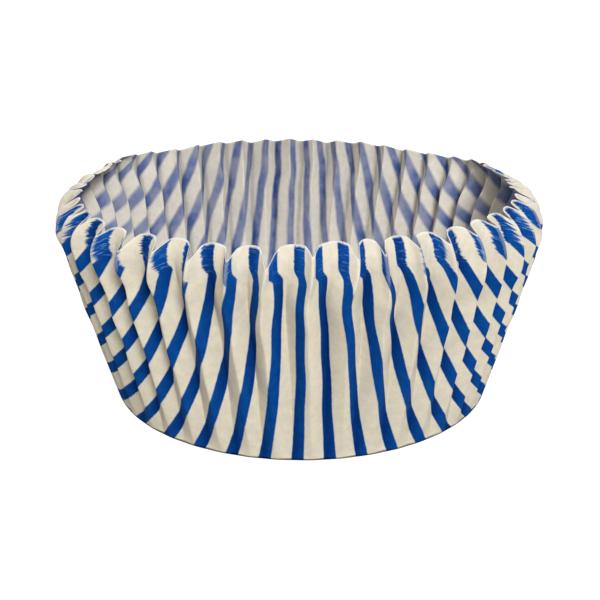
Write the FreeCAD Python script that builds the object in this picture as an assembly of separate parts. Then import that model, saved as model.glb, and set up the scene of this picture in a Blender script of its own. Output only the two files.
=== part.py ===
"""Fluted paper candy cup, millimetres, base on Z = 0, opening up.

The cup is one round sheet of printed paper. Its middle stays flat as the base. The rest is pressed
into even flutes that stand up as the wall, and at the top every flute bends over inwards as a lip.
Paper does not stretch, so a flute is as deep as it takes to hold the sheet's full width: the sheet
is longer round than the cup is at every height, and the fold depth takes up the difference.
"""
import FreeCAD, Part
import math
import os
from types import SimpleNamespace

NODE = "paper_cup"

# alias, value, what it is
SIZES = (
    ("base_diameter", 50.0, "flat round base, mm"),
    ("widest_diameter", 61.6, "across the crests where the lip starts to turn in, mm"),
    ("widest_height", 22.6, "height of that widest circle, mm"),
    ("lip_bend_radius", 3.9, "radius a crest bends over with, mm"),
    ("lip_length", 4.3, "paper beyond the straight wall, along a crest, mm"),
    ("paper_thickness", 0.1, "one sheet, mm"),
    ("flute_count", 48, "flutes round the cup"),
    ("fold_share", 0.08, "half width of a rounded fold in the wall, share of a flute"),
    ("lip_crest_share", 0.34, "half width of a crest at the rim, share of a flute"),
    ("lip_depth_share", 0.7, "flute depth left at the rim, share of the full depth"),
    ("lip_fold_lean", 20.0, "slope of the folds at the rim, inner side up, degrees"),
    ("drift_once", 1.7, "crest drift that repeats once round the cup, degrees"),
    ("drift_once_start", 25.0, "where that drift starts, degrees"),
    ("drift_twice", 1.0, "crest drift that repeats twice round the cup, degrees"),
    ("drift_twice_start", 38.0, "where that drift starts, degrees"),
    ("uneven_bend", 0.12, "how much the lip's bend differs from flute to flute, share"),
)

# Shares of the straight wall where a flute line starts, bends and hands over to the lip's curve.
WALL_STATIONS = (0.0, 0.05, 0.25, 0.93)
# Even steps that the lip's curve is drawn with.
LIP_STEPS = 4
# The lip's unevenness is a wave round the cup: radians from one flute to the next, and its start.
UNEVEN_STEP = 2.4
UNEVEN_START = 1.0
# How round a fold in the wall is, against its half width.
FOLD_SOFTNESS = 0.6


def write_sheet(doc):
    """The spreadsheet with the driving sizes."""
    sheet = doc.addObject("Spreadsheet::Sheet", "Sizes")
    for row, (alias, value, meaning) in enumerate(SIZES, start=1):
        sheet.set(f"A{row}", str(value))
        sheet.set(f"B{row}", meaning)
        sheet.setAlias(f"A{row}", alias)
    doc.recompute()
    return sheet


def read_sizes(sheet):
    """The sheet's values, with the lengths and angles that follow from them."""
    sizes = SimpleNamespace(**{alias: float(sheet.get(alias)) for alias, _, _ in SIZES})
    sizes.flute_count = int(round(sizes.flute_count))
    sizes.base_radius = sizes.base_diameter / 2
    bend = sizes.lip_bend_radius
    outward = sizes.widest_diameter / 2 - bend - sizes.base_radius
    reach = math.hypot(outward, sizes.widest_height)
    sizes.wall_rise = math.atan2(sizes.widest_height, outward) - math.asin(bend / reach)
    sizes.wall_length = math.sqrt(reach**2 - bend**2)
    sizes.slant_length = sizes.wall_length + sizes.lip_length
    return sizes


def smooth_step(value):
    """0 below 0, 1 above 1, and a soft S between."""
    value = min(max(value, 0.0), 1.0)
    return value * value * (3 - 2 * value)


def lip_share(sizes, run):
    """How far the lip's own shape has taken over at a run along the flute: 0 to 1."""
    start = sizes.wall_length * WALL_STATIONS[-1]
    return smooth_step((run - start) / (sizes.slant_length - start))


def crest_angle(sizes, flute):
    """Direction of a crest, radians from the front; hand-pressed flutes drift a little."""
    even = 2 * math.pi * flute / sizes.flute_count
    once = sizes.drift_once * math.sin(even + math.radians(sizes.drift_once_start))
    twice = sizes.drift_twice * math.sin(2 * even + math.radians(sizes.drift_twice_start))
    return even + math.radians(once + twice)


def bend_factor(sizes, flute):
    """How much tighter than average a crest's lip is bent."""
    flute = flute % sizes.flute_count
    return 1 + sizes.uneven_bend * math.sin(UNEVEN_STEP * flute + UNEVEN_START)


def crest_point(sizes, run, tightness=1.0):
    """Radius and height of a crest at a run from the base's edge: a wall, then an inward bend."""
    wall = min(run, sizes.wall_length)
    radius = sizes.base_radius + wall * math.cos(sizes.wall_rise)
    height = wall * math.sin(sizes.wall_rise)
    if run <= sizes.wall_length:
        return radius, height
    bend = sizes.lip_bend_radius / tightness
    start = sizes.wall_rise - math.pi / 2
    angle = start + (run - sizes.wall_length) / bend
    radius += bend * (math.cos(angle) - math.cos(start))
    height += bend * (math.sin(angle) - math.sin(start))
    return radius, height


def flute_depth(sizes, run, radius):
    """Fold depth that stows the sheet's width: the width in the sheet against the width in place."""
    in_sheet = math.pi * (sizes.base_radius + run) / sizes.flute_count
    in_place = math.pi * radius / sizes.flute_count
    full = math.sqrt(max(in_sheet**2 - in_place**2, 0.0))
    return full * (1 - (1 - sizes.lip_depth_share) * lip_share(sizes, run))


def fold_lean(sizes, run):
    """Direction from crest to valley, above the inward horizontal: square to the wall, then the lip's."""
    square = math.pi / 2 - sizes.wall_rise
    return square + (math.radians(sizes.lip_fold_lean) - square) * lip_share(sizes, run)


def fold_places(sizes, run):
    """Shares of a flute where its lines run: crest, its shoulder, the valley's shoulder, valley, back."""
    fold = sizes.fold_share
    in_wall = 0.5 - fold
    shoulder = in_wall + (sizes.lip_crest_share - in_wall) * lip_share(sizes, run)
    return (0.0, fold, shoulder, 0.5, 1 - shoulder, 1 - fold)


def crest_share(sizes, place, run):
    """How near the crest the paper is at a place across a flute: 1 on the crest, 0 in the valley."""
    off_crest = min(place, 1 - place)
    wall = rounded_flank(off_crest, sizes.fold_share * FOLD_SOFTNESS)
    lip = 1 - smooth_step(off_crest / sizes.lip_crest_share)
    return wall + (lip - wall) * lip_share(sizes, run)


def rounded_flank(off_crest, softness):
    """A straight flank between two softly rounded folds, from 1 at the crest to 0 at the valley."""
    def offset(off):
        return math.hypot(0.5 - off, softness) - math.hypot(off, softness)
    return (offset(off_crest) - offset(0.5)) / (offset(0.0) - offset(0.5))


def sheet_point(sizes, flute, column, run):
    """A point of the paper's middle surface."""
    place = fold_places(sizes, run)[column]
    near_crest = flute if place <= 0.5 else flute + 1
    radius, height = crest_point(sizes, run)
    depth = flute_depth(sizes, run, radius)
    lean = fold_lean(sizes, run)
    valley_radius = radius - depth * math.cos(lean)
    valley_height = height + depth * math.sin(lean)
    radius, height = crest_point(sizes, run, bend_factor(sizes, near_crest))
    share = crest_share(sizes, place, run)
    radius = valley_radius + share * (radius - valley_radius)
    height = valley_height + share * (height - valley_height)
    start, end = crest_angle(sizes, flute), crest_angle(sizes, flute + 1)
    return polar_point(start + place * (end - start), radius, height + sizes.paper_thickness / 2)


def polar_point(angle, radius, height):
    """A point at an angle from the front, which is the -Y side."""
    return FreeCAD.Vector(radius * math.sin(angle), -radius * math.cos(angle), height)


def middle_lines(sizes):
    """The lines of the paper's middle surface, each a list of points from the base's edge to the rim."""
    runs = [share * sizes.wall_length for share in WALL_STATIONS]
    step = (sizes.slant_length - runs[-1]) / LIP_STEPS
    runs += [runs[-1] + step * count for count in range(1, LIP_STEPS + 1)]
    columns = range(len(fold_places(sizes, 0.0)))
    return [
        [sheet_point(sizes, flute, column, run) for run in runs]
        for flute in range(sizes.flute_count)
        for column in columns
    ]


def offset_lines(sizes, lines, side):
    """The lines of one face of the paper: side is 1 for the outside and -1 for the inside."""
    half = side * sizes.paper_thickness / 2
    moved = []
    for index, line in enumerate(lines):
        before, after = lines[index - 1], lines[(index + 1) % len(lines)]
        points = [base_corner(sizes, line[0], half)]
        for station in range(1, len(line)):
            last = min(station + 1, len(line) - 1)
            along = line[last] - line[station - 1]
            square = (after[station] - before[station]).cross(along)
            points.append(line[station] + square.normalize() * half)
        moved.append(points)
    return moved


def base_corner(sizes, point, half):
    """The corner where the base's flat face meets the wall's, on the same side of the paper."""
    outward = FreeCAD.Vector(point.x, point.y, 0).normalize()
    corner = point + outward * half * math.tan(sizes.wall_rise / 2)
    corner.z = point.z - half
    return corner


def facet_pair(first, second, third, fourth, split_first):
    """Two triangles that fill a four-sided facet, split along one of its diagonals."""
    if split_first:
        return [(first, second, third), (first, third, fourth)]
    return [(first, second, fourth), (second, third, fourth)]


def skin_facets(lines, start):
    """Triangles between neighbouring lines, each facet split along its shorter diagonal.

    A point's number is start + its line's number times the stations + its station.
    """
    stations = len(lines[0])
    facets = []
    for index, line in enumerate(lines):
        after = lines[(index + 1) % len(lines)]
        near = start + index * stations
        far = start + (index + 1) % len(lines) * stations
        for low in range(stations - 1):
            up = low + 1
            split_first = line[low].distanceToPoint(after[up]) < after[low].distanceToPoint(line[up])
            facets += facet_pair(near + low, far + low, far + up, near + up, split_first)
    return facets


def rim_facets(lines, inner_start):
    """Triangles across the cut edge of the paper, from the outside to the inside."""
    stations = len(lines[0])
    facets = []
    for index in range(len(lines)):
        near = (index + 1) * stations - 1
        far = ((index + 1) % len(lines) + 1) * stations - 1
        facets += facet_pair(near, far, inner_start + far, inner_start + near, True)
    return facets


def base_face(lines):
    """One flat face of the base, bounded by the wall's first points."""
    corners = [line[0] for line in lines]
    return Part.Face(Part.makePolygon(corners + corners[:1]))


def cup_solid(sizes):
    """The whole cup as one closed solid of paper."""
    lines = middle_lines(sizes)
    outer = offset_lines(sizes, lines, 1)
    inner = offset_lines(sizes, lines, -1)
    points = [point for line in outer + inner for point in line]
    inner_start = len(points) // 2
    facets = skin_facets(lines, 0)
    facets += [facet[::-1] for facet in skin_facets(lines, inner_start)]
    facets += rim_facets(lines, inner_start)
    wall = Part.Shape()
    wall.makeShapeFromMesh((points, facets), sizes.paper_thickness / 100, False)
    shell = Part.Shell(wall.Faces + [base_face(outer), base_face(inner)])
    shell.sewShape()
    solid = Part.Solid(shell)
    if solid.Volume < 0:
        solid.reverse()
    return solid


def check(doc, parts):
    """Stop before anything is written if an object failed or a shape is not sound."""
    for item in doc.Objects:
        if "Invalid" in item.State or "Error" in item.State:
            raise RuntimeError(f"{item.Name}: {item.State}")
    for part in parts:
        if part.Shape.isNull() or not part.Shape.isValid():
            raise RuntimeError(f"{part.Label}: the shape is not valid")


def main():
    doc = FreeCAD.newDocument("PaperCup")
    sizes = read_sizes(write_sheet(doc))
    cup = doc.addObject("Part::Feature", "PaperCup")
    cup.Label = NODE
    cup.Shape = cup_solid(sizes)
    cup.Placement = FreeCAD.Placement(FreeCAD.Vector(0, 0, 0), FreeCAD.Rotation())
    doc.recompute()
    check(doc, [cup])
    os.makedirs("parts", exist_ok=True)
    cup.Shape.exportStep(f"parts/{NODE}.step")
    box = cup.Shape.BoundBox
    print(f"{NODE}: {box.XLength:.2f} x {box.YLength:.2f} x {box.ZLength:.2f} mm,"
          f" {cup.Shape.Volume:.1f} mm3, {len(cup.Shape.Solids)} solid")


main()
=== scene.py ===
"""Looks of the paper candy cup: one sheet of striped paper in folds, with its stage, light and camera."""
import math
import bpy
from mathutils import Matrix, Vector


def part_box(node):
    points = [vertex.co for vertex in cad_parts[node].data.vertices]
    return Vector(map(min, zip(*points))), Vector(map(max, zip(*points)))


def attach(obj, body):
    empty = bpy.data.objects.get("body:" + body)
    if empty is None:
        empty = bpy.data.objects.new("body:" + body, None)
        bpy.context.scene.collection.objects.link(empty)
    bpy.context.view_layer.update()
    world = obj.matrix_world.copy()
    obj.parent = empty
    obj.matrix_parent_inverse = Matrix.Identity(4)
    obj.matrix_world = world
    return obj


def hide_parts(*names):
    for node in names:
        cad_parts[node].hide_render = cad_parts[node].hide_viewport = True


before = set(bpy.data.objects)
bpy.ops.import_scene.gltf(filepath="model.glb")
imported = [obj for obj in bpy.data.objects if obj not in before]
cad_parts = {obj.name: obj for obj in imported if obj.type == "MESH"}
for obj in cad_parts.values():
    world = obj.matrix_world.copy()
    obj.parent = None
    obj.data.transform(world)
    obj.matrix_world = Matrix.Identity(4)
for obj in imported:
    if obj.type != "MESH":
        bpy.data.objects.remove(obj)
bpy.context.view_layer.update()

from types import SimpleNamespace

import bpy
import numpy as np
from mathutils import Matrix, Vector

LOW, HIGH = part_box("paper_cup")
MM = 0.001
TURN = 2 * math.pi

# The sheet and its folds, millimetres and shares of a flute's width.
PAPER = 0.1
FLUTES = 48
BASE_RADIUS = 25.0
WIDEST_RADIUS = (HIGH.x - LOW.x) / 2 / MM - PAPER / 2
WIDEST_HEIGHT = 22.6
LIP_BEND = 3.9
LIP_LENGTH = 4.3
LIP_START_SHARE = 0.88
LIP_LEAN = math.radians(20)
CREST_SOFTNESS = 0.09
VALLEY_SOFTNESS = 0.03
NOTCH_WIDTH = 0.18
NOTCH_LENGTH = 0.80
FINGER_DOME = 0.36

# The folds' depth at the rim, as a share of the depth that stows the sheet's width.
LIP_DEPTH = 0.70
BACK_LIP_DEPTH = 0.95
LEFT_LIP_DEPTH = 0.16
RIGHT_LIP_DEPTH = 0.05

# The rim away from the front, fitted: curl as a share of the front's, and millimetres. The side
# lips stand higher than the flat sheet's width and length allow together.
BACK_CURL = 0.35
SIDE_CURL = 2.0
LAST_TURN = math.radians(105)
SIDE_LIFT = 1.7
BACK_SLANT_CUT = 0.45
SHOULDER_CUT = 0.45

# Where round the cup such a change starts and how far it takes, in radians from the front.
TO_SIDE = (1.25, 0.40)
TO_RIGHT_SIDE = (1.45, 0.25)
TO_BACK_PRINT = (1.7, 0.6)
TO_BACK = (1.85, 0.55)
TO_FAR_BACK = (2.05, 0.5)
SHOULDER_MIDDLE = 2.4
SHOULDER_REACH = 0.5

# Single flutes, numbered from the front towards +X: the notch as a share of the lip, the millimetres that
# a tip is cut by, and the angle that a crest is moved by. Fitted to how one cup was crumpled.
NOTCHES = (
    (43, 0.72), (44, 0.85), (45, 0.72), (46, 0.88), (47, 0.68), (0, 0.93), (1, 0.78), (2, 0.85), (3, 0.88),
    (4, 0.9), (5, 0.95), (6, 0.98), (7, 0.95), (8, 1.0), (9, 0.97), (40, 0.95), (41, 0.9), (42, 0.92),
)
SHORT_TIPS = ((46, 0.35), (47, 0.45))
CREST_SHIFT = ((40, math.radians(-1.5)), (41, math.radians(-1.5)), (47, math.radians(-1.2)))

# Unevenness from flute to flute: the most that a random draw adds or takes away.
SEED = 7
TIGHTNESS_SPREAD = 0.14
NOTCH_LENGTH_SPREAD = 0.1
NOTCH_WIDTH_SPREAD = 0.05
LEAN_SPREAD = math.radians(1.0)
SLANT_SPREAD = 0.15

# Unevenness, fitted: waves round the cup as (times, size, start in degrees), the front being at 0.
CREST_DRIFT = ((1, math.radians(1.7), 25), (2, math.radians(1.0), 38))
RIM_LIFT = ((1, 0.24, 38), (2, 0.27, 0))
RIM_SWAY = ((1, -0.25, 0), (2, -0.2, 0), (2, 0.22, 90), (4, -0.29, 90))
RIM_OUT = -0.03

# Folds off their ray: twist low in the wall, lean in the lip, and slight waves up the wall, whose lengths
# are millimetres. The lean on the right grows with the sine of the angle from the front.
FOLD_TWIST = math.radians(1.9)
FOLD_LEAN = math.radians(1.3)
RIGHT_LEAN = math.radians(-2.9)
RIGHT_LEAN_SINES = (0.09, 0.48)
SWAY = math.radians(0.2)
SWAY_LENGTHS = (13.0, 7.0)
SWELL = 0.05
SWELL_LENGTHS = (5.5, 9.0)

# A dent low in the wall, on the left.
DENT_MIDDLE = math.radians(-78)
DENT_WIDTH = math.radians(26)
DENT_DEPTH = 0.35

# The mesh: levels up the wall and over the lip, columns across one flute, rings on the base, and the
# off-crest share that is given to points on the base.
WALL_LEVELS = 30
LIP_LEVELS = 24
LEVEL_BUNCHING = 1.25
COLUMNS = 16
COLUMN_BUNCHING = 0.055
BASE_RINGS = (0.985, 0.8, 0.5)
HALFWAY = 0.25

# The print, millimetres in the flat sheet.
STRIPE_PITCH = 3.68
STRIPE_WIDTH = 1.38
STRIPE_SHIFT = -2.24
STRIPE_TURN = math.radians(4.75)
LIP_WIDENING = 0.05
# More stripes than lie to either side of the middle, so that no place counted from the first is below 0.
MOST_STRIPES = 50

# How the print strays in the lip: it is evened out over a flute, and slips past the leaning folds from
# some millimetres up the lip, over some more.
LIP_EVENING = 0.5
SLIP_START = 0.7
LIP_SLIP = math.radians(0.8)
SLIP_LENGTH = 1.0
LIP_SPREAD = math.radians(4.5)
SPREAD_LENGTH = 3.4

# The print displaced across its stripes, millimetres: at the back, where the left gets more of it, and
# on the side lips as (middle, reach, millimetres). It fades into the base's over the foot of the wall.
# Fitted, to make up for folds that aren't placed exactly: a real sheet's print isn't displaced.
BACK_PRINT_SHIFT = 1.2
BACK_PRINT_SKEW = 0.35
PRINT_FOOT = 10.0
PRINT_PLATEAU = 1.6
LIP_PRINT_SHIFTS = (
    (math.radians(-93), math.radians(18), 1.9),
    (math.radians(92), math.radians(18), -2.7),
)

# The sheet's two faces lie side by side, as discs, in the picture that an export bakes.
BAKE_MARGIN = 1.0
BAKE_RADIUS = 0.24
BAKE_CENTRE = 0.25
BAKE_STEP = 0.5


# ---------------------------------------------------------------- the folded sheet

OUTWARD = WIDEST_RADIUS - LIP_BEND - BASE_RADIUS
REACH = math.hypot(OUTWARD, WIDEST_HEIGHT)
WALL_RISE = math.atan2(WIDEST_HEIGHT, OUTWARD) - math.asin(LIP_BEND / REACH)
WALL_LENGTH = math.sqrt(REACH**2 - LIP_BEND**2)
SLANT = WALL_LENGTH + LIP_LENGTH
LIP_START = WALL_LENGTH * LIP_START_SHARE


def smooth_step(value):
    """0 up to 0, 1 from 1, and an even S between."""
    value = np.clip(value, 0.0, 1.0)
    return value * value * (3 - 2 * value)


def change(value, start_and_reach):
    """0 up to the start, 1 from the reach past it."""
    start, reach = start_and_reach
    return smooth_step((value - start) / reach)


def waves(angle, sizes):
    """A sum of waves round the cup: (times, size, start) each."""
    return sum(size * np.sin(times * angle + math.radians(start)) for times, size, start in sizes)


def turned_from(angle, middle):
    """The angle from a middle, between half a turn back and half a turn on."""
    return (angle - middle + math.pi) % TURN - math.pi


def on_the_ring(radius, angle, *rest):
    """Points at these angles from the front, stacked in the last axis."""
    return np.stack([radius * np.sin(angle), -radius * np.cos(angle), *rest], axis=-1)


def lip_share(run, slant):
    """0 on the wall, 1 at the rim."""
    return smooth_step((run - LIP_START) / (slant - LIP_START))


def crest_point(run, tightness):
    """Radius and height of a crest: a straight wall, an inward bend, and straight on past its last turn."""
    wall = np.minimum(run, WALL_LENGTH)
    bend = LIP_BEND / tightness
    start = WALL_RISE - math.pi / 2
    past = np.clip(run - WALL_LENGTH, 0, None)
    turn = np.minimum(past / bend, LAST_TURN)
    angle = start + turn
    straight = past - turn * bend
    radius = BASE_RADIUS + wall * math.cos(WALL_RISE) + bend * (np.cos(angle) - math.cos(start))
    height = wall * math.sin(WALL_RISE) + bend * (np.sin(angle) - math.sin(start))
    return radius - straight * np.sin(angle), height + straight * np.cos(angle)


def flute_depth(run, radius):
    """The depth that stows the width of the flat sheet."""
    in_sheet = math.pi * (BASE_RADIUS + run) / FLUTES
    in_place = math.pi * radius / FLUTES
    return np.sqrt(np.clip(in_sheet**2 - in_place**2, 0, None))


def rounded_flank(off_crest):
    """1 at the crest, 0 at the valley, with a round crest and a sharper valley."""
    def offset(off):
        return np.hypot(0.5 - off, VALLEY_SOFTNESS) - np.hypot(off, CREST_SOFTNESS)
    return (offset(off_crest) - offset(0.5)) / (offset(0.0) - offset(0.5))


class Flutes:
    """What differs from flute to flute, seeded so that it is the same each time."""

    def __init__(self):
        even = np.arange(FLUTES) * 2 * math.pi / FLUTES
        self.set_regions(even)
        rng = np.random.default_rng(SEED)

        def uneven(middle, spread):
            return middle + spread * rng.uniform(-1, 1, FLUTES)

        self.tightness = uneven(1, TIGHTNESS_SPREAD) * self.curl
        self.notch = uneven(NOTCH_LENGTH, NOTCH_LENGTH_SPREAD)
        self.width = uneven(NOTCH_WIDTH, NOTCH_WIDTH_SPREAD)
        self.lean = uneven(FOLD_LEAN, LEAN_SPREAD) * (1 - self.at_back)
        self.slant = uneven(SLANT, SLANT_SPREAD)
        self.slant -= BACK_SLANT_CUT * self.at_back + SHOULDER_CUT * self.at_shoulder
        self.sway = rng.uniform(0, TURN, (len(SWAY_LENGTHS), FLUTES))
        self.swell = rng.uniform(0, TURN, (len(SWELL_LENGTHS), FLUTES))
        self.crest = even + waves(even, CREST_DRIFT)
        for flute, length in NOTCHES:
            self.notch[flute] = length
        self.notch += (1 - self.notch) * np.maximum(self.at_back, self.at_side)
        for flute, cut in SHORT_TIPS:
            self.slant[flute] -= cut
        for flute, shift in CREST_SHIFT:
            self.crest[flute] += shift

    def set_regions(self, even):
        """How far each flute belongs to the side, the shoulder and the back, and what follows from it."""
        right = np.sin(even) > 0
        from_front = np.abs(turned_from(even, 0))
        self.at_back = change(from_front, TO_BACK)
        self.at_side = change(from_front, TO_SIDE) * (1 - self.at_back)
        self.at_shoulder = smooth_step(1 - np.abs(from_front - SHOULDER_MIDDLE) / SHOULDER_REACH)
        self.far_back = change(from_front, TO_FAR_BACK)
        self.print_back = change(from_front, TO_BACK_PRINT)
        flat_lip = np.where(right, change(from_front, TO_RIGHT_SIDE), change(from_front, TO_SIDE))
        self.flat_lip = flat_lip * (1 - self.far_back)
        self.flat_depth = np.where(right, RIGHT_LIP_DEPTH, LEFT_LIP_DEPTH)
        self.right_lean = RIGHT_LEAN * change(np.sin(even), RIGHT_LEAN_SINES) * (1 - self.at_back)
        self.curl = 1 + (BACK_CURL - 1) * self.at_back + (SIDE_CURL - 1) * self.at_side


def column_places():
    """Shares of a flute, closer together at the crest and the valley."""
    even = np.arange(COLUMNS) / COLUMNS
    return even - COLUMN_BUNCHING * np.sin(4 * math.pi * even)


def levels():
    """Shares of the slant from the base's edge to the rim."""
    wall = np.linspace(0, 1, WALL_LEVELS) ** LEVEL_BUNCHING * LIP_START / SLANT
    lip = np.linspace(LIP_START / SLANT, 1, LIP_LEVELS + 1)[1:]
    return np.r_[wall, lip]


def between(values, place):
    """A value that goes over from each flute's to the next one's, across the flute."""
    return values[None, :, None] * (1 - place) + np.roll(values, -1)[None, :, None] * place


def valley_line(flutes, near, run, lip):
    """Radius and height of the valleys, as deep as the stowed sheet asks, and less in the lip."""
    radius, height = crest_point(run, flutes.curl[near])
    lip_depth = LIP_DEPTH + (BACK_LIP_DEPTH - LIP_DEPTH) * flutes.far_back[near]
    lip_depth = lip_depth + (flutes.flat_depth[near] - lip_depth) * flutes.flat_lip[near]
    depth = flute_depth(run, radius) * (1 - (1 - lip_depth) * lip)
    square = math.pi / 2 - WALL_RISE
    lean = square + (LIP_LEAN - square) * lip
    return radius - depth * np.cos(lean), height + depth * np.sin(lean)


def crest_line(flutes, near, run):
    """Radius and height of the crests, which end short of the rim where a notch is cut."""
    notched = np.clip(run - WALL_LENGTH, 0, None) * (1 - flutes.notch[near])
    return crest_point(run - notched, flutes.tightness[near])


def toward_crest(flutes, near, run, lip, up, off_crest):
    """How far a point lies from the valley line to the crest line."""
    notch = 1 - smooth_step(off_crest / flutes.width[near])
    dome = (1 - 2 * off_crest) ** 2
    wall_part = rounded_flank(off_crest)
    lip_part = notch + FINGER_DOME * (dome - notch)
    toward = wall_part + (lip_part - wall_part) * lip * (1 - flutes.at_back[near])
    for part, length in zip(flutes.swell, SWELL_LENGTHS):
        swell = SWELL * np.sin(run / length * 2 * math.pi + part[near])
        toward = toward + swell * (1 - 2 * off_crest) * up * (1 - lip)
    return toward


def fold_angle(flutes, flute, turn, run, lip, up):
    """The angle from the front that a flute's crest has at each level."""
    line = flutes.crest[flute][None, :, None] + turn
    line = line + (flutes.lean + flutes.right_lean)[flute][None, :, None] * lip + FOLD_TWIST * (1 - up)
    for part, length in zip(flutes.sway, SWAY_LENGTHS):
        wave = np.sin(run / length * 2 * math.pi + part[flute][None, :, None])
        line = line + SWAY * up * (1 - lip) * wave
    return line


def print_slip(flutes, near, place, angle, run, lip):
    """The angle by which the print slips past the folds in the lip."""
    past = run - WALL_LENGTH - SLIP_START
    slip = between(flutes.lean, place) * lip + LIP_SLIP * smooth_step(past / SLIP_LENGTH)
    slip = slip - LIP_SPREAD * np.sin(angle) * smooth_step(past / SPREAD_LENGTH)
    return slip * (1 - flutes.at_back[near])


def print_shift(flutes, near, angle, lip):
    """How far the print is displaced across its stripes on the wall and lip, millimetres."""
    shift = BACK_PRINT_SHIFT * flutes.print_back[near] * (1 - BACK_PRINT_SKEW * np.sin(angle))
    for middle, reach, length in LIP_PRINT_SHIFTS:
        apart = np.abs(turned_from(angle, middle))
        shift = shift + length * smooth_step(PRINT_PLATEAU * (1 - apart / reach)) * lip
    return shift


def base_shift(flat):
    """How far the print is displaced on the base and at the wall's foot, millimetres."""
    back = smooth_step(flat[..., 1] / BASE_RADIUS)
    return BACK_PRINT_SHIFT * back * (1 - BACK_PRINT_SKEW * flat[..., 0] / BASE_RADIUS)


def middle_surface():
    """The paper's middle surface, level by column: points, flat places with their shift, off-crest shares."""
    flutes = Flutes()
    here = np.arange(FLUTES)
    after = (here + 1) % FLUTES
    share = levels()[:, None, None]
    place = column_places()[None, None, :]
    off_crest = np.minimum(place, 1 - place)
    near = np.where(place[0] <= 0.5, here[:, None], after[:, None])[None]

    slant = between(flutes.slant, place)
    run = share * slant
    lip = lip_share(run, slant)
    up = np.clip(run / WALL_LENGTH, 0, 1)

    valley_radius, valley_height = valley_line(flutes, near, run, lip)
    crest_radius, crest_height = crest_line(flutes, near, run)
    toward = toward_crest(flutes, near, run, lip, up, off_crest)
    radius = valley_radius + toward * (crest_radius - valley_radius)
    height = valley_height + toward * (crest_height - valley_height)

    start = fold_angle(flutes, here, 0.0, run, lip, up)
    end = fold_angle(flutes, after, np.where(after == 0, TURN, 0.0)[None, :, None], run, lip, up)
    angle = start + (end - start) * place
    radius = radius + (waves(angle, RIM_SWAY) + RIM_OUT) * lip
    in_dent = np.exp(-(turned_from(angle, DENT_MIDDLE) / DENT_WIDTH) ** 2)
    radius = radius - DENT_DEPTH * in_dent * (1 - up) ** 2
    height = height + (waves(angle, RIM_LIFT) + SIDE_LIFT * flutes.at_side[near]) * lip

    rows = len(share)
    points = on_the_ring(radius, angle, height).reshape(rows, -1, 3)
    slip = print_slip(flutes, near, place, angle, run, lip)
    flat = flat_places(points, flutes, place[0, 0], lip, slip)
    shift = print_shift(flutes, near, angle, lip).reshape(rows, -1)
    share_up = smooth_step(run / PRINT_FOOT).reshape(rows, -1)
    flat = np.dstack([flat, shift * share_up + base_shift(flat) * (1 - share_up)])
    off_crest = np.broadcast_to(off_crest, (rows, FLUTES, COLUMNS)).reshape(rows, -1)
    return points, flat, off_crest


def flat_places(points, flutes, place, lip, slip):
    """Each point's x and y in the flat sheet: folds stay on their ray, and paper keeps its length.

    In the lip the print slips past the folds, which lean."""
    crest = flutes.crest + FOLD_TWIST
    following = np.r_[crest[1:], crest[0] + TURN]
    valley = (crest + following) / 2
    rows = len(points)
    half = COLUMNS // 2
    ring = np.concatenate([points, points[:, :1]], axis=1)
    steps = np.linalg.norm(np.diff(ring, axis=1), axis=2).reshape(rows, FLUTES, 2, half)
    length = np.cumsum(steps, axis=3)
    part = np.concatenate([np.zeros((rows, FLUTES, 2, 1)), length[..., :-1]], axis=3) / length[..., -1:]
    plain = (place * 2 % 1).reshape(1, 1, 2, half)
    lip = lip.reshape(rows, FLUTES, 2, half)
    part = part + (plain - part) * LIP_EVENING * lip
    first = np.stack([crest, valley], axis=1)[None, :, :, None]
    last = np.stack([valley, following], axis=1)[None, :, :, None]
    angle = (first + (last - first) * part).reshape(rows, FLUTES, COLUMNS) + slip
    radius = BASE_RADIUS + levels()[:, None] * SLANT
    return on_the_ring(radius, angle.reshape(rows, -1))


def unit_normals(points):
    """Directions of length 1, square to the surface, out of the face that is printed."""
    across = np.roll(points, -1, axis=1) - np.roll(points, 1, axis=1)
    along = np.gradient(points, axis=0)
    normal = np.cross(across, along)
    return normal / np.linalg.norm(normal, axis=2, keepdims=True)


class Sheet:
    """Collects the vertices of the closed paper solid with their flat places and sides."""

    def __init__(self):
        self.points = []
        self.flat = []
        self.side = []
        self.off_crest = []
        self.faces = []
        self.count = 0

    def add(self, points, flat, side, off_crest=HALFWAY):
        """Adds a block of points and returns their numbers, in the block's own form."""
        points = np.asarray(points, float)
        total = int(np.prod(points.shape[:-1]))
        self.points.append(points.reshape(-1, 3))
        self.flat.append(np.asarray(flat, float).reshape(-1, 3))
        self.side.append(np.full(total, float(side)))
        self.off_crest.append(np.broadcast_to(off_crest, points.shape[:-1]).ravel())
        numbers = self.count + np.arange(total).reshape(points.shape[:-1])
        self.count += total
        return numbers

    def quads(self, lower, upper, flip):
        """Faces between two closed rows of points."""
        order = (lower, np.roll(lower, -1), np.roll(upper, -1), upper)
        if flip:
            order = order[::-1]
        self.faces += [tuple(int(n) for n in face) for face in np.stack(order, axis=1)]

    def fan(self, ring, centre, flip):
        """Faces from a closed row of points to one point in its middle."""
        for one, two in zip(ring, np.roll(ring, -1)):
            face = (int(centre), int(one), int(two))
            self.faces.append(face[::-1] if flip else face)


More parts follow.
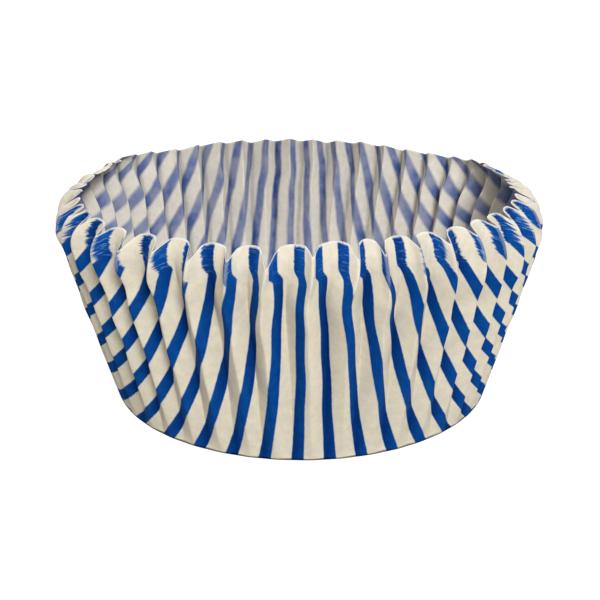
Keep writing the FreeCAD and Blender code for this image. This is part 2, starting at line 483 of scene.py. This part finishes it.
def cup_mesh():
    """The whole cup as one closed mesh: outside, inside, the cut rim and the flat base."""
    middle, flat, off_crest = middle_surface()
    normal = unit_normals(middle)
    sheet = Sheet()
    skins = []
    for side, sign in ((0, 1), (1, -1)):
        skin = sheet.add(middle + sign * PAPER / 2 * normal, flat, side, off_crest)
        for lower, upper in zip(skin[:-1], skin[1:]):
            sheet.quads(lower, upper, side == 1)
        skins.append(skin)
    sheet.quads(skins[0][-1], skins[1][-1], False)
    base = middle[0]
    for side, skin in enumerate(skins):
        ring = skin[0]
        level = (-PAPER / 2, PAPER / 2)[side]
        for share in BASE_RINGS:
            points = base * (share, share, 0) + (0, 0, level)
            inner = sheet.add(points, np.c_[points[:, :2], base_shift(points[:, :2])], side)
            sheet.quads(inner, ring, side == 1)
            ring = inner
        centre = sheet.add([[0, 0, level]], [[0, 0, 0]], side)[0]
        sheet.fan(ring, centre, side == 0)
    return mesh_object("paper_cup_sheet", sheet)


def link_new(name, data):
    """A new object in the scene."""
    made = bpy.data.objects.new(name, data)
    bpy.context.scene.collection.objects.link(made)
    return made


def mesh_object(name, sheet):
    """The sheet as an object that knows each point's flat place, face and share off the crest."""
    points = np.concatenate(sheet.points) + (0, 0, PAPER / 2)
    flat = np.concatenate(sheet.flat)
    side = np.concatenate(sheet.side)
    mesh = bpy.data.meshes.new(name)
    mesh.from_pydata((points * MM).tolist(), [], sheet.faces)
    place = mesh.attributes.new("flat", "FLOAT_VECTOR", "POINT")
    place.data.foreach_set("vector", flat.ravel())
    for key, values in (("inside", side), ("off_crest", np.concatenate(sheet.off_crest))):
        mesh.attributes.new(key, "FLOAT", "POINT").data.foreach_set("value", values)
    mesh.polygons.foreach_set("use_smooth", [True] * len(mesh.polygons))
    corner = np.empty(len(mesh.loops), int)
    mesh.loops.foreach_get("vertex_index", corner)
    spread = flat[:, :2] / (BASE_RADIUS + SLANT + BAKE_MARGIN) * BAKE_RADIUS
    spread = spread + np.stack([BAKE_CENTRE + BAKE_STEP * side, np.full(len(side), 0.5)], axis=1)
    mesh.uv_layers.new(name="OFBake").data.foreach_set("uv", spread[corner].ravel())
    mesh.update()
    return link_new(name, mesh)


# ---------------------------------------------------------------- the printed paper

class Nodes:
    """Short ways to wire up a material's nodes."""

    def __init__(self, tree):
        self.tree = tree

    def new(self, kind, **values):
        """A new node with these settings."""
        node = self.tree.nodes.new(kind)
        for key, value in values.items():
            setattr(node, key, value)
        return node

    def put(self, socket, value):
        """Links the socket to another one, or sets it to a number or a colour."""
        if isinstance(value, bpy.types.NodeSocket):
            self.tree.links.new(value, socket)
        else:
            socket.default_value = value

    def math(self, operation, *values):
        node = self.new("ShaderNodeMath", operation=operation)
        for socket, value in zip(node.inputs, values):
            self.put(socket, value)
        return node.outputs[0]

    def times(self, *values):
        return self.math("MULTIPLY", *values)

    def plus(self, *values):
        return self.math("ADD", *values)

    def minus(self, *values):
        return self.math("SUBTRACT", *values)

    def line(self, value, slope, start):
        """The value times the slope, plus the start."""
        return self.math("MULTIPLY_ADD", value, slope, start)

    def larger(self, *values):
        return self.math("MAXIMUM", *values)

    def magnitude(self, value):
        return self.math("ABSOLUTE", value)

    def ramp(self, value, low, high, to_low=0.0, to_high=1.0):
        """A soft step of value from low to high."""
        node = self.new("ShaderNodeMapRange", interpolation_type="SMOOTHSTEP")
        for socket, item in zip(node.inputs, (value, low, high, to_low, to_high)):
            self.put(socket, item)
        return node.outputs[0]

    def mix(self, share, one, two, blend="MIX"):
        """Colour one going over to colour two; inputs 6 and 7 are the node's two colours."""
        node = self.new("ShaderNodeMix", data_type="RGBA", blend_type=blend)
        self.put(node.inputs[0], share)
        self.put(node.inputs[6], one)
        self.put(node.inputs[7], two)
        return node.outputs[2]

    def shade(self, colour, level):
        """The colour times a grey level."""
        grey = self.new("ShaderNodeCombineColor")
        for socket in grey.inputs[:3]:
            self.put(socket, level)
        return self.mix(1.0, colour, grey.outputs[0], "MULTIPLY")

    def noise(self, vector, scale, detail, roughness):
        node = self.new("ShaderNodeTexNoise")
        self.put(node.inputs["Vector"], vector)
        self.put(node.inputs["Scale"], scale)
        self.put(node.inputs["Detail"], detail)
        self.put(node.inputs["Roughness"], roughness)
        return node.outputs["Fac"]

    def stretch(self, vector, x, y, turn=0.0):
        """The vector with its x and y scaled, then turned about z."""
        node = self.new("ShaderNodeMapping")
        self.put(node.inputs["Vector"], vector)
        node.inputs["Scale"].default_value = (x, y, 1.0)
        node.inputs["Rotation"].default_value = (0, 0, turn)
        return node.outputs["Vector"]

    def split(self, vector):
        """The vector's x, y and z."""
        node = self.new("ShaderNodeSeparateXYZ")
        self.put(node.inputs[0], vector)
        return node.outputs


# Colours of the outer face, fresh and worn, and of the inner face with the print's ghost. The lip's darker
# cream and the valleys' colours are painted shade, the pale rim and ridge colour is partly worn paper and
# partly painted highlight, and the ghost's groove colour is painted shade.
CREAM = (0.80, 0.735, 0.588, 1)
# Painted shade: the lip's cream is darker, to make up for the lip taking more light than the wall.
CREAM_LIP_SHADED = (0.71, 0.66, 0.54, 1)
CREAM_VALLEY_SHADE = (0.40, 0.36, 0.28, 1)
# Pale paper on the rim and ridges: partly worn paper, partly painted highlight.
WORN_PAPER_AND_HIGHLIGHT = (0.74, 0.74, 0.71, 1)
INK = (0.0010, 0.056, 0.29, 1)
INK_WORN = (0.010, 0.11, 0.36, 1)
# Painted shade: the ink's colour deep in the valleys.
INK_VALLEY_SHADE = (0.0006, 0.010, 0.10, 1)
SCRATCH = (0.13, 0.27, 0.50, 1)
BLEED = (0.22, 0.36, 0.52, 1)
INSIDE_CREAM = (0.73, 0.69, 0.61, 1)
# Painted shade: the ghost's colour in the grooves is darker; on the ridges it is paler.
INSIDE_GHOST_GROOVE_SHADE = (0.045, 0.100, 0.31, 1)
INSIDE_GHOST_RIDGE = (0.15, 0.19, 0.37, 1)

# Noises as (scale, detail, roughness), and stretches as (x, y, turn).
STREAKY = (1.0, 3.0, 0.6)
FAINT_NOISE = (1.6, 3.0, 0.6)
CLOUD_NOISE = (0.9, 4.0, 0.65)
INK_NOISE = (1.0, 4.0, 0.65)
GHOST_EDGE_NOISE = (0.5, 2.0, 0.5)
GHOST_NOISE = (0.45, 3.0, 0.5)
GRAIN_NOISE = (3.2, 4.0, 0.7)
FIBRE_NOISE = (1.0, 5.0, 0.7)
COMB_STRETCH = (0.35, 3.8, math.radians(10))
STREAK_STRETCH = (0.5, 4.2, math.radians(12))
RIM_STRETCH = (1.6, 1.6)
INK_STRETCH = (1.4, 0.8)
FIBRE_STRETCH = (5.0, 2.0)

# Ramps as (low, high, value at low, value at high), or (low, high) for 0 to 1. Lengths are millimetres.
LIP_RAMP = (WALL_LENGTH + 0.2, WALL_LENGTH + 1.6)
OUTWARD_RAMP = (-1.0, 1.0, 0.4, 1.0)
ASIDE_WEAR_RAMP = (4.0, 38.0, 0.16, 1.25)
ASIDE_SCRAPE_RAMP = (0.0, 40.0, 0.35, 0.9)
SCRAPE_RAMP = (0.55, 0.66)
FLECK_RAMP = (0.56, 0.68)
INK_TONE_RAMP = (0.3, 0.75, 0.0, 0.42)
VALLEY_SHADE_RAMP = (0.1, 0.5)
GHOST_RAMP = (0.3, 0.7, 0.72, 1.0)
GHOST_GROOVE_SHADE_RAMP = (0.05, 0.5)
DEEP_RAMP = (1.0, WALL_LENGTH - 8.0, 1.0, 0.0)
NARROW_GROOVE_SHADE_RAMP = (0.02, 0.13, 0.70, 1.0)
WIDE_GROOVE_SHADE_RAMP = (0.0, 0.32, 0.90, 1.0)
CLOUD_RAMP = (0.25, 0.75, 0.92, 1.05)
GRAIN_RAMP = (0.3, 0.7, 0.965, 1.025)
# Painted shadow along the base's edge, where the cup meets the floor:
BASE_EDGE_SHADE_RAMP = (0.10, 0.25, 0.25, 1.0)

# The stripes' edges, millimetres: uneven on the wall, ragged and blurred in the lip, with a pale bleed.
EDGE_UNEVEN = 0.12
EDGE_RAGGED = 1.7
COMB_LEVEL = 0.52
EDGE_BLUR = 0.06
LIP_BLUR = 0.14
BLEED_WIDTH = 0.07

# Wear on the rim and the ridges, which is partly painted highlight: millimetres, shares of a flute, and
# shares of a colour.
RIM_FROM = SLANT - 0.62
RIM_RAGGED = 0.5
RIM_SOFTNESS = 0.3
RIM_WEAR_AND_HIGHLIGHT = 0.85
RIDGE_WIDTH = 0.003
RIDGE_WIDENING = 0.10
RIDGE_WEAR_AND_HIGHLIGHT = 0.22
WALL_FLECKS = 0.03
LIP_FLECKS = 0.5

# Shares of the painted valley shade in ink and cream and of the bleed's colour, and the ghost's edge in
# millimetres.
VALLEY_SHADE_IN_INK = 0.6
VALLEY_SHADE_IN_CREAM = 0.10
BLEED_SHARE = 0.8
GHOST_INSET = 0.40
GHOST_UNEVEN = 0.35
GHOST_SOFTNESS = 0.64

# The paper's surface, the height of its fibres in metres.
ROUGHNESS = 0.7
SPECULAR = 0.02
FIBRE_STRENGTH = 0.10
FIBRE_HEIGHT = 0.0002


def stripe_place(nodes, flat):
    """Millimetres across the stripes from the nearest one's middle and from the sheet's, and turned places.

    A flat place's z is how far the print is displaced there."""
    turned = nodes.stretch(flat, 1, 1, -STRIPE_TURN)
    sideways, _, shift = nodes.split(turned)
    first = STRIPE_SHIFT - STRIPE_PITCH / 2 - MOST_STRIPES * STRIPE_PITCH
    along = nodes.minus(nodes.plus(sideways, shift), first)
    share = nodes.math("FRACT", nodes.math("DIVIDE", along, STRIPE_PITCH))
    return nodes.times(nodes.minus(share, 0.5), STRIPE_PITCH), sideways, turned


def round_place(nodes, flat, run):
    """Millimetres round the sheet and up its slant, for marks that run across the folds."""
    x, y, _ = nodes.split(flat)
    angle = nodes.math("ARCTAN2", x, nodes.times(y, -1.0))
    joined = nodes.new("ShaderNodeCombineXYZ")
    nodes.put(joined.inputs[0], nodes.times(angle, BASE_RADIUS + SLANT))
    nodes.put(joined.inputs[1], run)
    return joined.outputs[0]


def sheet_place(nodes):
    """Where a point lies on the sheet, in the ways that the looks are drawn by."""
    flat = nodes.new("ShaderNodeAttribute", attribute_name="flat").outputs["Vector"]
    inside = nodes.new("ShaderNodeAttribute", attribute_name="inside").outputs["Fac"]
    off_crest = nodes.new("ShaderNodeAttribute", attribute_name="off_crest").outputs["Fac"]
    length = nodes.new("ShaderNodeVectorMath", operation="LENGTH")
    nodes.put(length.inputs[0], flat)
    run = nodes.minus(length.outputs["Value"], BASE_RADIUS)
    in_lip = nodes.ramp(run, *LIP_RAMP)
    across, sideways, turned = stripe_place(nodes, flat)
    distance = nodes.magnitude(across)
    level = round_place(nodes, flat, run)
    return SimpleNamespace(
        flat=flat, inside=inside, off_crest=off_crest, run=run, in_lip=in_lip, across=across,
        sideways=sideways, turned=turned, distance=distance, level=level,
    )


def ink_edge(nodes, at):
    """A stripe's half width and blur: even on the wall, combed in the lip, mostly on the outward edge."""
    outward = nodes.ramp(nodes.times(at.across, at.sideways), *OUTWARD_RAMP)
    outward = nodes.times(outward, nodes.ramp(nodes.magnitude(at.sideways), *ASIDE_WEAR_RAMP))
    comb = nodes.noise(nodes.stretch(at.level, *COMB_STRETCH), *STREAKY)
    ragged = nodes.times(nodes.minus(comb, COMB_LEVEL), nodes.times(at.in_lip, EDGE_RAGGED))
    ragged = nodes.times(ragged, outward)
    faint = nodes.times(nodes.minus(nodes.noise(at.flat, *FAINT_NOISE), 0.5), EDGE_UNEVEN)
    edge = nodes.plus(nodes.plus(ragged, faint), nodes.line(at.in_lip, LIP_WIDENING, STRIPE_WIDTH / 2))
    blur = nodes.line(nodes.times(at.in_lip, outward), LIP_BLUR, EDGE_BLUR)
    return edge, blur


def wear_and_highlight_of_lip(nodes, at):
    """Shares of pale paper on the rim and on the ridges, each partly bare paper and partly painted highlight,
    and of scraped ink and flecked ink.
    """
    rim_noise = nodes.noise(nodes.stretch(at.level, *RIM_STRETCH), *STREAKY)
    rim_line = nodes.line(rim_noise, RIM_RAGGED, RIM_FROM)
    rim = nodes.ramp(at.run, rim_line, nodes.plus(rim_line, RIM_SOFTNESS), 0.0, RIM_WEAR_AND_HIGHLIGHT)
    streak = nodes.noise(nodes.stretch(at.level, *STREAK_STRETCH), *STREAKY)
    ridge_width = nodes.line(nodes.times(streak, at.in_lip), RIDGE_WIDENING, RIDGE_WIDTH)
    ridge = nodes.ramp(at.off_crest, nodes.times(ridge_width, 0.5), ridge_width, 1.0, 0.0)
    ridge = nodes.times(ridge, nodes.times(at.in_lip, RIDGE_WEAR_AND_HIGHLIGHT))
    scraped = nodes.ramp(streak, *SCRAPE_RAMP)
    aside = nodes.ramp(nodes.magnitude(at.sideways), *ASIDE_SCRAPE_RAMP)
    scrape = nodes.times(scraped, nodes.times(at.in_lip, aside))
    flecked = nodes.ramp(streak, *FLECK_RAMP)
    fleck = nodes.times(flecked, nodes.line(at.in_lip, LIP_FLECKS, WALL_FLECKS))
    return rim, ridge, scrape, fleck


def outer_face(nodes, at):
    """Cream paper with blue stripes, worn in the lip, with painted shade in the valleys and on the lip's
    cream, and a pale rim and ridges that are partly wear and partly painted highlight. Returns the colour and
    the noise of its clouds.
    """
    edge, blur = ink_edge(nodes, at)
    ink = nodes.ramp(at.distance, nodes.minus(edge, blur), nodes.plus(edge, blur), 1.0, 0.0)
    rim, ridge, scrape, fleck = wear_and_highlight_of_lip(nodes, at)
    cloud = nodes.noise(at.flat, *CLOUD_NOISE)
    ink_noise = nodes.noise(nodes.stretch(at.turned, *INK_STRETCH), *INK_NOISE)
    ink_tone = nodes.ramp(ink_noise, *INK_TONE_RAMP)
    inked = nodes.mix(nodes.larger(ink_tone, fleck), INK, INK_WORN)
    inked = nodes.mix(scrape, inked, SCRATCH)
    # Painted shade: the cream is darker in the lip.
    cream = nodes.mix(at.in_lip, CREAM, CREAM_LIP_SHADED)
    # Painted shade: ink and cream darker towards the valleys.
    valley = nodes.ramp(at.off_crest, *VALLEY_SHADE_RAMP)
    inked = nodes.mix(nodes.times(valley, VALLEY_SHADE_IN_INK), inked, INK_VALLEY_SHADE)
    cream = nodes.mix(nodes.times(valley, VALLEY_SHADE_IN_CREAM), cream, CREAM_VALLEY_SHADE)
    bled_from = nodes.minus(edge, blur)
    bled_to = nodes.plus(edge, nodes.plus(blur, BLEED_WIDTH))
    bleed = nodes.ramp(at.distance, bled_from, bled_to, 1.0, 0.0)
    outer = nodes.mix(nodes.times(bleed, BLEED_SHARE), cream, BLEED)
    outer = nodes.mix(ink, outer, inked)
    # The pale rim and ridges are partly worn paper and partly painted highlight.
    return nodes.mix(nodes.larger(ridge, rim), outer, WORN_PAPER_AND_HIGHLIGHT), cloud


def inner_face(nodes, at):
    """Cream paper with the print's ghost: painted shade darkens the grooves of the upper wall, and the ghost
    is painted darker towards the grooves.
    """
    edge_noise = nodes.noise(at.flat, *GHOST_EDGE_NOISE)
    ghost_wide = nodes.line(edge_noise, GHOST_UNEVEN, STRIPE_WIDTH / 2 - GHOST_INSET)
    ghost = nodes.ramp(at.distance, ghost_wide, nodes.plus(ghost_wide, GHOST_SOFTNESS), 1.0, 0.0)
    ghost = nodes.times(ghost, nodes.ramp(nodes.noise(at.flat, *GHOST_NOISE), *GHOST_RAMP))
    # Painted shade: the ghost is darker towards the grooves and paler on the ridges.
    shaded_ghost_colour = nodes.mix(nodes.ramp(at.off_crest, *GHOST_GROOVE_SHADE_RAMP), INSIDE_GHOST_GROOVE_SHADE, INSIDE_GHOST_RIDGE)
    inner = nodes.mix(ghost, INSIDE_CREAM, shaded_ghost_colour)
    # Painted shade in the grooves, higher up the wall.
    deep = nodes.ramp(at.run, *DEEP_RAMP)
    narrow = nodes.ramp(at.off_crest, *NARROW_GROOVE_SHADE_RAMP)
    wide = nodes.ramp(at.off_crest, *WIDE_GROOVE_SHADE_RAMP)
    groove_shade = nodes.larger(nodes.times(narrow, wide), deep)
    return nodes.shade(inner, groove_shade)


def add_fibres(nodes, at, shader):
    """A fine bump along the fibres of the paper."""
    fibre = nodes.noise(nodes.stretch(at.flat, *FIBRE_STRETCH), *FIBRE_NOISE)
    bump = nodes.new("ShaderNodeBump")
    bump.inputs["Strength"].default_value = FIBRE_STRENGTH
    bump.inputs["Distance"].default_value = FIBRE_HEIGHT
    nodes.put(bump.inputs["Height"], fibre)
    nodes.put(shader.inputs["Normal"], bump.outputs[0])


def empty_material(name):
    """A new material without nodes, and the ways to wire it."""
    material = bpy.data.materials.new(name)
    material.use_nodes = True
    material.node_tree.nodes.clear()
    return material, Nodes(material.node_tree)


def printed_paper():
    """The one material of the sheet: the print outside, its ghost inside."""
    material, nodes = empty_material("printed_paper")
    output = nodes.new("ShaderNodeOutputMaterial")
    shader = nodes.new("ShaderNodeBsdfPrincipled")
    nodes.put(output.inputs["Surface"], shader.outputs[0])
    at = sheet_place(nodes)
    outer, cloud = outer_face(nodes, at)
    inner = inner_face(nodes, at)
    colour = nodes.mix(at.inside, outer, inner)
    tone = nodes.ramp(cloud, *CLOUD_RAMP)
    grain = nodes.ramp(nodes.noise(at.flat, *GRAIN_NOISE), *GRAIN_RAMP)
    tone = nodes.times(tone, grain)
    # Painted shadow: a thin dark line at the foot of the wall, where the cup meets the floor.
    base_edge_shade = nodes.ramp(nodes.magnitude(at.run), *BASE_EDGE_SHADE_RAMP)
    nodes.put(shader.inputs["Base Color"], nodes.shade(colour, nodes.times(tone, base_edge_shade)))
    shader.inputs["Roughness"].default_value = ROUGHNESS
    shader.inputs["Specular IOR Level"].default_value = SPECULAR
    add_fibres(nodes, at, shader)
    return material


# ---------------------------------------------------------------- stage, light and camera

FLOOR_SIZE = 1.2
FLOOR_GREY = (0.4, 0.4, 0.4, 1)
SEEN_FLOOR_GREY = (0.22, 0.22, 0.22, 1)
SEEN_FLOOR_GLOW = 0.90
SKY = 0.17

# Lamps: degrees round from the front, degrees up, size in metres, light level and tint.
WHITE = (1.0, 1.0, 1.0)
WARM = (1.0, 0.88, 0.74)
LAMPS = (
    ("key", 14, 34, 0.14, 0.80, WHITE),
    ("back", 172, 38, 0.30, 0.55, WHITE),
    ("fill", 68, 44, 0.30, 0.09, WHITE),
    ("warm", -72, 62, 0.30, 0.30, WARM),
)
LAMP_DISTANCE = 0.55
LAMP_TARGET = 0.01

# The camera: its angles, its distance and its target's height in widest radii of the cup, its sensor and
# lens in millimetres, and its nearest sight in metres.
CAMERA_LIFT = math.radians(19.9)
CAMERA_ROLL = math.radians(0.36)
CAMERA_DISTANCE = 4
CAMERA_TARGET = 0.367
CAMERA_SENSOR = 36
CAMERA_LENS = 55.4
CAMERA_SHIFT = -1 / 60
CAMERA_NEAR = 0.01


def way_from_front(turn, lift):
    """The direction that lies turn round from the front and lift up, both in radians."""
    return Vector((math.sin(turn) * math.cos(lift), -math.cos(turn) * math.cos(lift), math.sin(lift)))


def add_floor():
    """A pale floor that the camera sees as white, apart from the cup's soft shadow."""
    half = FLOOR_SIZE / 2
    mesh = bpy.data.meshes.new("floor")
    corners = [(-half, -half, 0), (half, -half, 0), (half, half, 0), (-half, half, 0)]
    mesh.from_pydata(corners, [], [(0, 1, 2, 3)])
    floor = link_new("floor", mesh)
    material, nodes = empty_material("floor")
    output = nodes.new("ShaderNodeOutputMaterial")
    plain = nodes.new("ShaderNodeBsdfDiffuse")
    plain.inputs["Color"].default_value = FLOOR_GREY
    faint = nodes.new("ShaderNodeBsdfDiffuse")
    faint.inputs["Color"].default_value = SEEN_FLOOR_GREY
    glow = nodes.new("ShaderNodeEmission")
    glow.inputs["Strength"].default_value = SEEN_FLOOR_GLOW
    seen = nodes.new("ShaderNodeAddShader")
    nodes.put(seen.inputs[0], faint.outputs[0])
    nodes.put(seen.inputs[1], glow.outputs[0])
    mix = nodes.new("ShaderNodeMixShader")
    nodes.put(mix.inputs[0], seen_ray(nodes))
    nodes.put(mix.inputs[1], plain.outputs[0])
    nodes.put(mix.inputs[2], seen.outputs[0])
    nodes.put(output.inputs["Surface"], mix.outputs[0])
    mesh.materials.append(material)


def seen_ray(nodes):
    """1 for rays that show the background: straight, mirrored or through something."""
    path = nodes.new("ShaderNodeLightPath")
    glossy = nodes.larger(path.outputs["Is Camera Ray"], path.outputs["Is Glossy Ray"])
    return nodes.larger(glossy, path.outputs["Is Transmission Ray"])


def add_world():
    """A sky that is white to look at and lights the cup dimly."""
    world = bpy.data.worlds.new("studio")
    bpy.context.scene.world = world
    world.use_nodes = True
    world.node_tree.nodes.clear()
    nodes = Nodes(world.node_tree)
    output = nodes.new("ShaderNodeOutputWorld")
    sky = nodes.new("ShaderNodeBackground")
    sky.inputs["Color"].default_value = (1, 1, 1, 1)
    nodes.put(sky.inputs["Strength"], nodes.ramp(seen_ray(nodes), 0.0, 1.0, SKY, 1.0))
    nodes.put(output.inputs["Surface"], sky.outputs[0])


def add_area(name, turn, lift, size, level, tint):
    """A lamp that lights a white surface facing it to the given level."""
    light = bpy.data.lights.new(name, "AREA")
    light.energy = level * (math.pi * LAMP_DISTANCE) ** 2
    light.size = size
    light.color = tint
    lamp = link_new(name, light)
    way = way_from_front(math.radians(turn), math.radians(lift))
    lamp.location = Vector((0, 0, LAMP_TARGET)) + LAMP_DISTANCE * way
    lamp.rotation_euler = (-way).to_track_quat("-Z", "Y").to_euler()


def add_camera():
    """The photograph's view: 20 degrees above the table, four widest radii away."""
    widest = (HIGH.x - LOW.x) / 2
    target = Vector((0, 0, CAMERA_TARGET * widest))
    data = bpy.data.cameras.new("view")
    camera = link_new("view", data)
    camera.location = target + CAMERA_DISTANCE * widest * way_from_front(0, CAMERA_LIFT)
    aim = (target - camera.location).to_track_quat("-Z", "Y").to_matrix()
    camera.rotation_euler = (aim @ Matrix.Rotation(CAMERA_ROLL, 3, "Z")).to_euler()
    data.sensor_width = CAMERA_SENSOR
    data.lens = CAMERA_LENS
    data.shift_y = CAMERA_SHIFT
    data.clip_start = CAMERA_NEAR
    bpy.context.scene.camera = camera


cup = cup_mesh()
cup.data.materials.append(printed_paper())
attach(cup, "root")
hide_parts("paper_cup")
add_floor()
add_world()
for lamp_values in LAMPS:
    add_area(*lamp_values)
add_camera()
bpy.context.scene.view_settings.view_transform = "Standard"
